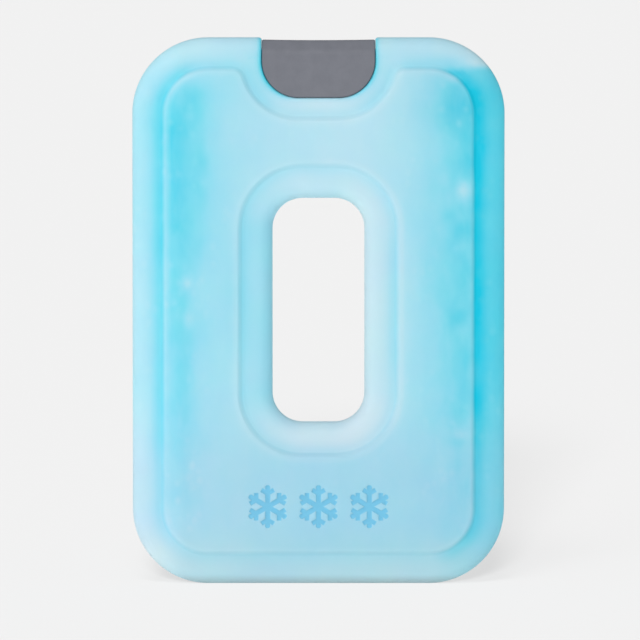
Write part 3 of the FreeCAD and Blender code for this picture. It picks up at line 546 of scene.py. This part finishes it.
def haze_and_painted_light(x, z, front):
    dp, dsl, do, dc = d_panel(x, z), d_slot(x, z), d_out(x, z), d_cap(x, z)
    ds = dsl - BAND_SLOT
    gx, gz = slope(d_slot, x, z)
    ox, oz = slope(d_out, x, z)
    ox, oz = -ox, -oz
    qx, qz = slope(d_panel, x, z)
    qx, qz = -qx, -qz
    side = 1.0 if front else 0.55                     # the back is evener
    left, right = smooth(-ox), smooth(ox)
    # the raised panel
    p = 0.362 + 0.115 * bell(x, 10, 40) * smooth((z - 165) / 45) + 0.03 * bell(x, -40, 28) * bell(z, 30, 35) + 0.03 * bell(ds, 4, 8) * np.clip(-gx, 0, 1)
    p = p + 0.05 * bell(ds, 2, 9) * np.clip(gx, 0, 1) * bell(z, 130, 60)
    al = 0.06 + 0.10 * smooth((z - 45) / 60) + 0.065 * smooth((z - 140) / 55)
    wl = 8.0 + 6.0 * smooth((z - 145) / 50)
    ar = 0.05 + 0.165 * smooth((z - 50) / 60)
    dl = x + 72.8 - 6.0
    p = p - side * al * np.where(dl > 0, bell(dl, 0, wl), bell(dl, 0, 10)) * smooth((244 - z) / 13) * smooth((z - 12) / 18)
    p = p - side * ar * bell(np.maximum(72.8 - x, 0), 0, 20) * smooth((250 - z) / 12)
    # the band round the rim, painted paler on its left side, which faces the light, and deeper blue on its right, which
    # faces away: painted light and shade
    reach = smooth((80 - x) / 18)
    deep = smooth((248.2 + 2.0 * reach - z) / (4.0 + 3.8 * reach))   # nothing but air behind the wall above the coolant
    rim_l = 0.385 + 0.05 * smooth((190 - z) / 60) + 0.065 * smooth((105 - z) / 50) + 0.07 * bell(z, 12, 20) + 0.03 * bell(z, 245, 14)
    rim_r = 0.112 + 0.10 * smooth((105 - z) / 60) + 0.06 * bell(z, 10, 16)
    ends = np.where(z > H / 2, 0.455 + 0.05 * bell(x, -68, 22) + 0.045 * bell(x, 76, 14), 0.43)
    b = ends + left * (rim_l - ends) * (1.0 if front else 0.7) + right * (rim_r - ends) * deep * (1.0 if front else 0.7)
    # paler under the cap than on its two sides, and deeper right beside it, where the grey cap shows through the lip
    # and a line of painted shade runs between the two parts
    cx, cz = slope(d_cap, x, z)
    w = smooth(1 - np.maximum(dc, 0) / 11)
    b = b * (1 - w) + (0.375 + 0.055 * smooth(cx) + 0.205 * smooth((-cz - 0.45) / 0.5) * bell(x, 2, 24) + 0.06 * smooth((z - 248) / 8)) * w
    b = b - side * (0.12 + 0.18 * smooth((np.abs(cx) - 0.1) / 0.4)) * bell(np.maximum(dc, 0), 0, 1.7)
    # a painted highlight along the outer edge where it faces the light
    b = b + left * 0.02 * bell(do, 0, 3.0)
    # the collar round the slot: painted light and shade, paler on the slot's right side, which faces the light, and
    # deeper on its left
    c = 0.44 + side * 0.085 * gx + 0.11 * np.abs(gz) - 0.035 * gz
    c = c + side * (0.055 + 0.03 * smooth(gx)) * gx * bell(dsl, 0, 4.8) + 0.02 * smooth(-gx) * bell(dsl, 0, 3) - 0.03 * smooth(-gz) * bell(dsl, 0, 4.0)
    collar = smooth((22 - dsl) / 3) * (dp > 0)
    b = b * (1 - collar) + c * collar
    t = step_t(x, z)
    v = b * (1 - t) + p * t
    # the step: painted shade, deeper blue, along its foot, where light reaches less, and a painted highlight, paler,
    # along its crest
    off_cap = smooth((dc - BAND_CAP - 2.0) / 6.0)
    west = smooth(-qx) * (x < -35)
    amp = 0.02 + off_cap * (0.11 * smooth(qz) + 0.035 * smooth(-qz) + 0.22 * west * (0.75 + 0.25 * smooth((z - 50) / 50)))
    amp = amp + (1 - off_cap) * (0.07 * smooth((np.abs(cx) - 0.25) / 0.4) * (0.6 + 0.4 * smooth(-cx)) - 0.035 * smooth((-cz - 0.7) / 0.3))
    v = v - amp * bell(np.minimum(dp - 0.3, 0), 0, 4.6) * bell(np.maximum(dp - 0.3, 0), 0, 1.5)
    v = v + (1 - off_cap) * ((0.015 + 0.035 * smooth(cx)) * bell(dp - STEP, 1.6, 3.6) - 0.03 * bell(dp, -1.2, 1.8))
    amp = 0.03 + 0.025 * np.clip(-gx, 0, 1) ** 2 + 0.155 * np.clip(gx, 0, 1) ** 3 + 0.11 * np.clip(-gz, 0, 1) ** 3 + 0.05 * np.clip(gz, 0, 1) ** 2
    v = v - amp * bell(np.minimum(ds - 0.1, 0), 0, 3.6) * bell(np.maximum(ds - 0.1, 0), 0, 1.5)
    v = v + (0.025 * (0.3 + 0.7 * off_cap) + 0.10 * west * (0.35 + 0.65 * smooth((z - 45) / 90)) + 0.025 * smooth(qz)) * bell(dp - STEP, 0.0, 1.5)
    v = v + (0.035 + 0.06 * np.clip(gx, 0, 1) ** 2 + 0.02 * np.clip(-gz, 0, 1) ** 2 + 0.01 * smooth(-gx)) * bell(ds - STEP, 0.5, 1.8)
    # on the right-hand side the step faces away from the light: painted shade, which leaves only the clear blue of the
    # coolant
    k = smooth(qx * 1.5) * smooth((247.0 - z) / 5.0) * side * (0.38 + 0.62 * smooth((z - 66) / 26))
    k = k * smooth((x - 35) / 15)
    v = v * (1 - 0.97 * k * bell(np.minimum(dp + 0.4, 0), 0, 3.4) * smooth((1.8 - dp) / 1.2))
    spots = FROST_FRONT if front else [(-x0 * 0.9, 250 - z0, a * 1.2, c, 0.7 * g) for x0, z0, a, c, g in FROST_FRONT]
    for x0, z0, a, c, g in spots:
        v = v + g * bell(x, x0, a) * bell(z, z0, c)
    for x0, z0, a, c, g in DEEP_FRONT if front else []:
        v = v - g * bell(x, x0, a) * bell(z, z0, c)
    return np.clip(v, 0.0, 0.75)


def mottle(x, z):
    """Where streaks and small bubbles show most: near the panel's two long sides, and a little everywhere."""
    m = bell(np.maximum(x + 70, 0), 0, 18) + bell(np.maximum(70 - x, 0), 0, 18)
    return np.clip(0.25 + 0.75 * m * smooth((z - 10) / 30), 0, 1) * (0.4 + 0.6 * step_t(x, z))


haze_and_light_front, haze_and_light_back = haze_and_painted_light(px, pz, True), haze_and_painted_light(px, pz, False)
low = 0.8 * smooth((100 - pz) / 55) + 0.2 * smooth((35 - pz) / 25)                         # painted shade: a little darker and greyer towards the bottom, where less light falls from above
tint = smooth((px + 20) / 90)                         # a touch greener towards the right
gpx, gpz = slope(d_panel, px, pz)
gsx, gsz = slope(d_slot, px, pz)
dpp, dss = d_panel(px, pz), d_slot(px, pz)
# painted light and shade: paler towards the left, where the light comes from, and darker high on the right; paler on
# the step slopes and slot edges that face away from the light, which lifts their real shading
lit = 0.12 * smooth((-px - 30) / 30) + 0.20 * smooth((-px - 62) / 10) - 0.20 * smooth((px - 20) / 45) * smooth((pz - 205) / 25) * (1 - 0.5 * smooth((pz - 243) / 6))
lit = lit + 0.16 * smooth((-px - 60) / 12) * smooth((112 - pz) / 50) + 0.30 * smooth((px - 83) / 5) + 0.15 * bell(dpp, 1.3, 1.7) * smooth(-gpx) * (px > 60)
lit = lit + 0.20 * bell(dpp, 1.3, 1.5) * smooth(gpz) * (pz < 100)
lit = lit + 0.12 * bell(dpp, 1.3, 1.6) * (1 - smooth((d_cap(px, pz) - BAND_CAP - 3.0) / 6.0)) * (0.5 + 0.5 * smooth(-px / 20))
lit = lit + bell(dss - BAND_SLOT, 1.3, 1.5) * (0.20 * smooth(gsz) + 0.25 * smooth(-gsx)) + bell(dss, 0, 4.5) * (0.40 * smooth(gsz) + 0.10 * smooth(-gsx))
lit = np.clip(0.5 + 0.5 * lit, 0, 1)
# painted shade at the very bottom, where the wall turns under towards the floor
under = smooth((5.0 - pz) / 5.0)
mot = mottle(px, pz)
at_haze_and_light = [haze_and_light_front, haze_and_light_back]
at_mottle = [mot, mot * 0.5]
at_press = [np.clip(depth / FLAKE_DEPTH, 0, 1), np.zeros(n)]
at_low = [low, low]
at_tint = [tint, tint]
at_lit = [lit, lit]
at_under = [under, under]
for loop in loops:
    L = np.array(loop)
    for k in range(9):
        u = smooth((k + 1) / 10.0)
        at_haze_and_light.append(haze_and_light_front[L] * (1 - u) + haze_and_light_back[L] * u)
        at_mottle.append(mot[L] * 0.3)
        at_press.append(np.zeros(len(L)))
        at_low.append(low[L])
        at_tint.append(tint[L])
        at_lit.append(lit[L])
        at_under.append(under[L])


def make_mesh(name, verts_mm, faces):
    me = bpy.data.meshes.new(name)
    me.from_pydata((verts_mm * 0.001).tolist(), [], faces)
    me.validate(clean_customdata=False)
    me.update()
    ob = bpy.data.objects.new(name, me)
    bpy.context.scene.collection.objects.link(ob)
    me.polygons.foreach_set("use_smooth", [True] * len(me.polygons))
    return ob


skin = make_mesh("blown_shell_skin", verts, faces)
for name, values in (("haze_and_painted_light", at_haze_and_light), ("mottle", at_mottle), ("pressed", at_press), ("low", at_low), ("tint", at_tint), ("lit", at_lit), ("under", at_under)):
    layer = skin.data.attributes.new(name, "FLOAT", "POINT")
    layer.data.foreach_set("value", np.concatenate(values).astype(np.float32))
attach(skin, "root")
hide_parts("shell")


# ------------------------------------------------------------------ materials
class Nodes:
    """A material and short ways to add nodes to it."""

    def __init__(self, name):
        self.m = bpy.data.materials.new(name)
        self.m.use_nodes = True
        self.t = self.m.node_tree
        self.t.nodes.clear()
        self.out = self.t.nodes.new("ShaderNodeOutputMaterial")
        self.bs = self.t.nodes.new("ShaderNodeBsdfPrincipled")
        self.t.links.new(self.bs.outputs["BSDF"], self.out.inputs["Surface"])
        self.co = self.t.nodes.new("ShaderNodeTexCoord").outputs["Object"]

    def put(self, node, key, value):
        sock = node.inputs[key]
        if hasattr(value, "is_linked") or hasattr(value, "links"):
            self.t.links.new(value, sock)
        else:
            sock.default_value = value

    def math(self, op, a, b=None, c=None):
        nd = self.t.nodes.new("ShaderNodeMath")
        nd.operation = op
        for i, v in enumerate((a, b, c)):
            if v is not None:
                self.put(nd, i, v)
        return nd.outputs[0]

    def scaled(self, sx, sy, sz):
        nd = self.t.nodes.new("ShaderNodeMapping")
        self.t.links.new(self.co, nd.inputs["Vector"])
        nd.inputs["Scale"].default_value = (sx, sy, sz)
        return nd.outputs[0]

    def noise(self, scale, detail=2.0, rough=0.5, vector=None, distortion=0.0):
        nd = self.t.nodes.new("ShaderNodeTexNoise")
        self.t.links.new(vector or self.co, nd.inputs["Vector"])
        nd.inputs["Scale"].default_value = scale
        nd.inputs["Detail"].default_value = detail
        nd.inputs["Roughness"].default_value = rough
        nd.inputs["Distortion"].default_value = distortion
        return nd.outputs["Fac"]

    def cells(self, scale, vector=None):
        nd = self.t.nodes.new("ShaderNodeTexVoronoi")
        self.t.links.new(vector or self.co, nd.inputs["Vector"])
        nd.inputs["Scale"].default_value = scale
        return nd.outputs["Distance"]

    def attribute(self, name):
        nd = self.t.nodes.new("ShaderNodeAttribute")
        nd.attribute_type = "GEOMETRY"
        nd.attribute_name = name
        return nd.outputs["Fac"]

    def spread(self, value, a, b, c, d):
        nd = self.t.nodes.new("ShaderNodeMapRange")
        for i, v in enumerate((value, a, b, c, d)):
            self.put(nd, i, v)
        return nd.outputs["Result"]

    def ramp(self, factor, stops):
        nd = self.t.nodes.new("ShaderNodeValToRGB")
        self.t.links.new(factor, nd.inputs["Fac"])
        el = nd.color_ramp.elements
        for k, (pos, colour) in enumerate(stops):
            e = el[k] if k < 2 else el.new(pos)
            e.position = pos
            e.color = (*colour, 1)
        return nd.outputs["Color"]

    def mix(self, factor, a, b):
        nd = self.t.nodes.new("ShaderNodeMix")
        nd.data_type = "RGBA"
        self.put(nd, "Factor", factor)
        for key, v in ((6, a), (7, b)):
            self.put(nd, key, v if hasattr(v, "links") else (*v, 1))
        return nd.outputs[2]

    def times(self, a, b):
        nd = self.t.nodes.new("ShaderNodeMix")
        nd.data_type = "RGBA"
        nd.blend_type = "MULTIPLY"
        nd.clamp_result = False
        nd.inputs["Factor"].default_value = 1.0
        self.t.links.new(a, nd.inputs[6])
        self.t.links.new(b, nd.inputs[7])
        return nd.outputs[2]

    def bump(self, height, strength, distance, normal=None):
        nd = self.t.nodes.new("ShaderNodeBump")
        self.t.links.new(height, nd.inputs["Height"])
        nd.inputs["Strength"].default_value = strength
        nd.inputs["Distance"].default_value = distance
        if normal is not None:
            self.t.links.new(normal, nd.inputs["Normal"])
        return nd.outputs[0]

    def set(self, **values):
        for key, v in values.items():
            self.put(self.bs, key.replace("_", " "), v)


# the shell: milky blue plastic over coolant. Its colour runs from clear blue to pale by the field above, which also
# holds painted light and shade, with slow clouds, upright streaks and small bubbles in it.
k = Nodes("translucent_shell")
v = k.attribute("haze_and_painted_light")
mo = k.attribute("mottle")
clouds = k.math("SUBTRACT", k.noise(42.0, 3.0, 0.5), 0.5)
streaks = k.math("SUBTRACT", k.noise(1.0, 2.0, 0.5, k.scaled(120.0, 120.0, 62.0), 0.3), 0.5)
specks = k.spread(k.cells(1.0, k.scaled(210.0, 210.0, 170.0)), 0.05, 0.48, 1.0, 0.0)
patches = k.spread(k.noise(70.0, 1.0), 0.52, 0.68, 0.0, 1.0)
v = k.math("ADD", v, k.math("MULTIPLY", clouds, 0.07))
v = k.math("ADD", v, k.math("MULTIPLY", k.math("MULTIPLY", streaks, mo), 0.17))
v = k.math("ADD", v, k.math("MULTIPLY", k.math("MULTIPLY", k.math("MULTIPLY", specks, patches), mo), 0.078))
STOPS = [(0.0, (0.000, 0.590, 0.790)), (0.1, (0.093, 0.643, 0.806)), (0.2, (0.200, 0.699, 0.838)), (0.3, (0.305, 0.720, 0.855)),
         (0.4, (0.410, 0.750, 0.865)), (0.5, (0.510, 0.775, 0.870)), (0.6, (0.615, 0.810, 0.875)), (0.75, (0.76, 0.86, 0.90))]
colour = k.ramp(k.math("DIVIDE", v, 0.75), [(a / 0.75, (0.952 * c[0], 0.980 * c[1], 0.995 * c[2])) for a, c in STOPS])
# painted light and shade from the attribute lit: paler towards the light, darker away from it
bright = k.ramp(k.attribute("lit"), [(0.0, (0.90, 0.80, 0.82)), (0.5, (1.0, 1.0, 1.0)), (1.0, (1.10, 1.20, 1.18))])
colour = k.times(colour, bright)
# painted shade towards the bottom, from the attribute low
colour = k.times(colour, k.ramp(k.attribute("low"), [(0.0, (1.0, 1.0, 1.0)), (0.8, (0.978, 0.908, 0.945)), (1.0, (0.980, 0.905, 0.895))]))
colour = k.times(colour, k.ramp(k.attribute("tint"), [(0.0, (1.0, 1.0, 1.0)), (1.0, (1.0, 0.995, 0.985))]))
colour = k.times(colour, k.ramp(k.noise(48.0, 2.0, 0.55), [(0.32, (1.006, 0.988, 1.004)), (0.68, (0.994, 1.012, 0.995))]))
# painted shade along the foot, from the attribute under
colour = k.times(colour, k.ramp(k.attribute("under"), [(0.0, (1.0, 1.0, 1.0)), (1.0, (0.84, 0.76, 0.72))]))
colour = k.mix(k.math("MULTIPLY", k.attribute("pressed"), 0.85), colour, (0.150, 0.530, 0.770))
grain = k.noise(900.0, 2.0, 0.6)
rough = k.spread(k.noise(60.0, 3.0, 0.6), 0.3, 0.7, 0.38, 0.50)
normal = k.bump(grain, 0.10, 0.0002)
normal = k.bump(k.noise(120.0, 2.0), 0.10, 0.0008, normal)
k.set(Base_Color=colour, Roughness=rough, Specular_IOR_Level=0.22, Subsurface_Weight=0.35, Subsurface_Scale=0.0013,
      Subsurface_Radius=(0.6, 0.9, 1.0), Normal=normal)
k.bs.subsurface_method = "BURLEY"         # smoother than a random walk through so pale a wall
skin.data.materials.append(k.m)


def dress(node, material):
    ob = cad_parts[node]
    if not ob.material_slots:
        ob.data.materials.append(material)
    for s in ob.material_slots:
        s.material = material


# the cap: satin grey moulded plastic with a fine spark-eroded grain
k = Nodes("grey_cap")
tone = k.noise(160.0, 4.0, 0.6)
colour = k.ramp(tone, [(0.25, (0.163, 0.171, 0.200)), (0.75, (0.188, 0.196, 0.227))])
grain = k.noise(1500.0, 2.0, 0.65)
k.set(Base_Color=colour, Roughness=k.spread(k.noise(420.0, 3.0), 0.3, 0.7, 0.46, 0.60), Specular_IOR_Level=0.35,
      Normal=k.bump(grain, 0.22, 0.00025))
dress("cap", k.m)

# the coolant: blue water-like gel, hidden by the milky wall
k = Nodes("blue_coolant")
colour = k.ramp(k.noise(38.0, 4.0, 0.6, None, 0.6), [(0.3, (0.02, 0.36, 0.62)), (0.7, (0.10, 0.55, 0.78))])
k.set(Base_Color=colour, Roughness=k.spread(k.noise(90.0, 2.0), 0.3, 0.7, 0.12, 0.24), Subsurface_Weight=0.4,
      Subsurface_Scale=0.006, Normal=k.bump(k.noise(55.0, 3.0), 0.15, 0.001))
dress("coolant", k.m)

# the stopper: natural polyethylene
k = Nodes("natural_stopper")
colour = k.ramp(k.noise(260.0, 3.0, 0.6), [(0.3, (0.70, 0.72, 0.71)), (0.7, (0.80, 0.81, 0.79))])
k.set(Base_Color=colour, Roughness=k.spread(k.noise(500.0, 2.0), 0.3, 0.7, 0.40, 0.55), Subsurface_Weight=0.3,
      Subsurface_Scale=0.001, Normal=k.bump(k.noise(1100.0, 2.0), 0.2, 0.0002))
dress("filler_plug", k.m)

# ------------------------------------------------------------------ stage, light and camera
bpy.ops.mesh.primitive_plane_add(size=4000.0, location=(0, 0, 0))
floor = bpy.context.object
floor.name = "floor"
floor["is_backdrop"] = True
fm = bpy.data.materials.new("pale_floor")
fm.use_nodes = True
nt = fm.node_tree
nt.nodes.clear()
out = nt.nodes.new("ShaderNodeOutputMaterial")
bs = nt.nodes.new("ShaderNodeBsdfPrincipled")
nt.links.new(bs.outputs["BSDF"], out.inputs["Surface"])
bs.inputs["Base Color"].default_value = (0.12, 0.12, 0.12, 1)
bs.inputs["Roughness"].default_value = 1.0
bs.inputs["Specular IOR Level"].default_value = 0.0
bs.inputs["Emission Color"].default_value = (1, 1, 1, 1)
bs.inputs["Emission Strength"].default_value = 0.634
fm.cycles.emission_sampling = "NONE"       # so wide a floor is only found by bounced rays, which leaves less noise
floor.data.materials.append(fm)

world = bpy.data.worlds.new("studio")
bpy.context.scene.world = world
world.use_nodes = True
back = world.node_tree.nodes["Background"]
back.inputs["Color"].default_value = (1, 1, 1, 1)
back.inputs["Strength"].default_value = 0.50


def lamp(name, kind, energy, **more):
    data = bpy.data.lights.new(name, kind)
    data.energy = energy
    for key, value in more.items():
        setattr(data, key, value)
    ob = bpy.data.objects.new(name, data)
    bpy.context.scene.collection.objects.link(ob)
    return ob


key = lamp("key", "SUN", 1.12, angle=math.radians(32))
key.rotation_euler = Vector((0.28, 0.85, -0.45)).to_track_quat("-Z", "Y").to_euler()
# three lamps that only the floor takes, from high to low, for the short soft shadow behind the pack on its right
only_floor = bpy.data.collections.new("floor_only")
only_floor.objects.link(floor)
for name, power, angle, way in (("floor_high", 2.0, 18, (0.10, 0.67, -0.74)), ("floor_mid", 11.5, 7, (0.045, 0.97, -0.24)),
                               ("floor_low", 1.2, 8, (0.08, 0.985, -0.14))):
    extra = lamp(name, "SUN", power, angle=math.radians(angle))
    extra.rotation_euler = Vector(way).to_track_quat("-Z", "Y").to_euler()
    extra.light_linking.receiver_collection = only_floor
box = lamp("left_softbox", "AREA", 3.0, shape="RECTANGLE", size=1.4, size_y=1.4)
box.location = (-1.8, -0.9, 1.0)
box.rotation_euler = (Vector((0, 0, 0.13)) - box.location).to_track_quat("-Z", "Y").to_euler()

ELEV = math.radians(3.0)
DIST = 3.2
px_mm = 260.0 / 545.4
cam_data = bpy.data.cameras.new("camera")
cam_data.sensor_width = 36.0
span = 640 * px_mm * 0.001
cam_data.lens = 36.0 * DIST / span
cam = bpy.data.objects.new("camera", cam_data)
bpy.context.scene.collection.objects.link(cam)
# the picture's middle in the plane of the front face
aim = Vector(((320 - 318.5) * px_mm * 0.001, 0.0, (583.2 - 320) * px_mm * 0.001))
cam.location = aim + Vector((0, -math.cos(ELEV), math.sin(ELEV))) * DIST
cam.rotation_euler = (aim - cam.location).to_track_quat("-Z", "Y").to_euler()
cam_data.clip_end = 5000
bpy.context.scene.camera = cam

view = bpy.context.scene.view_settings
view.view_transform = "Standard"
view.look = "None"
view.exposure = 0.0
view.gamma = 1.0

low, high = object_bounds()
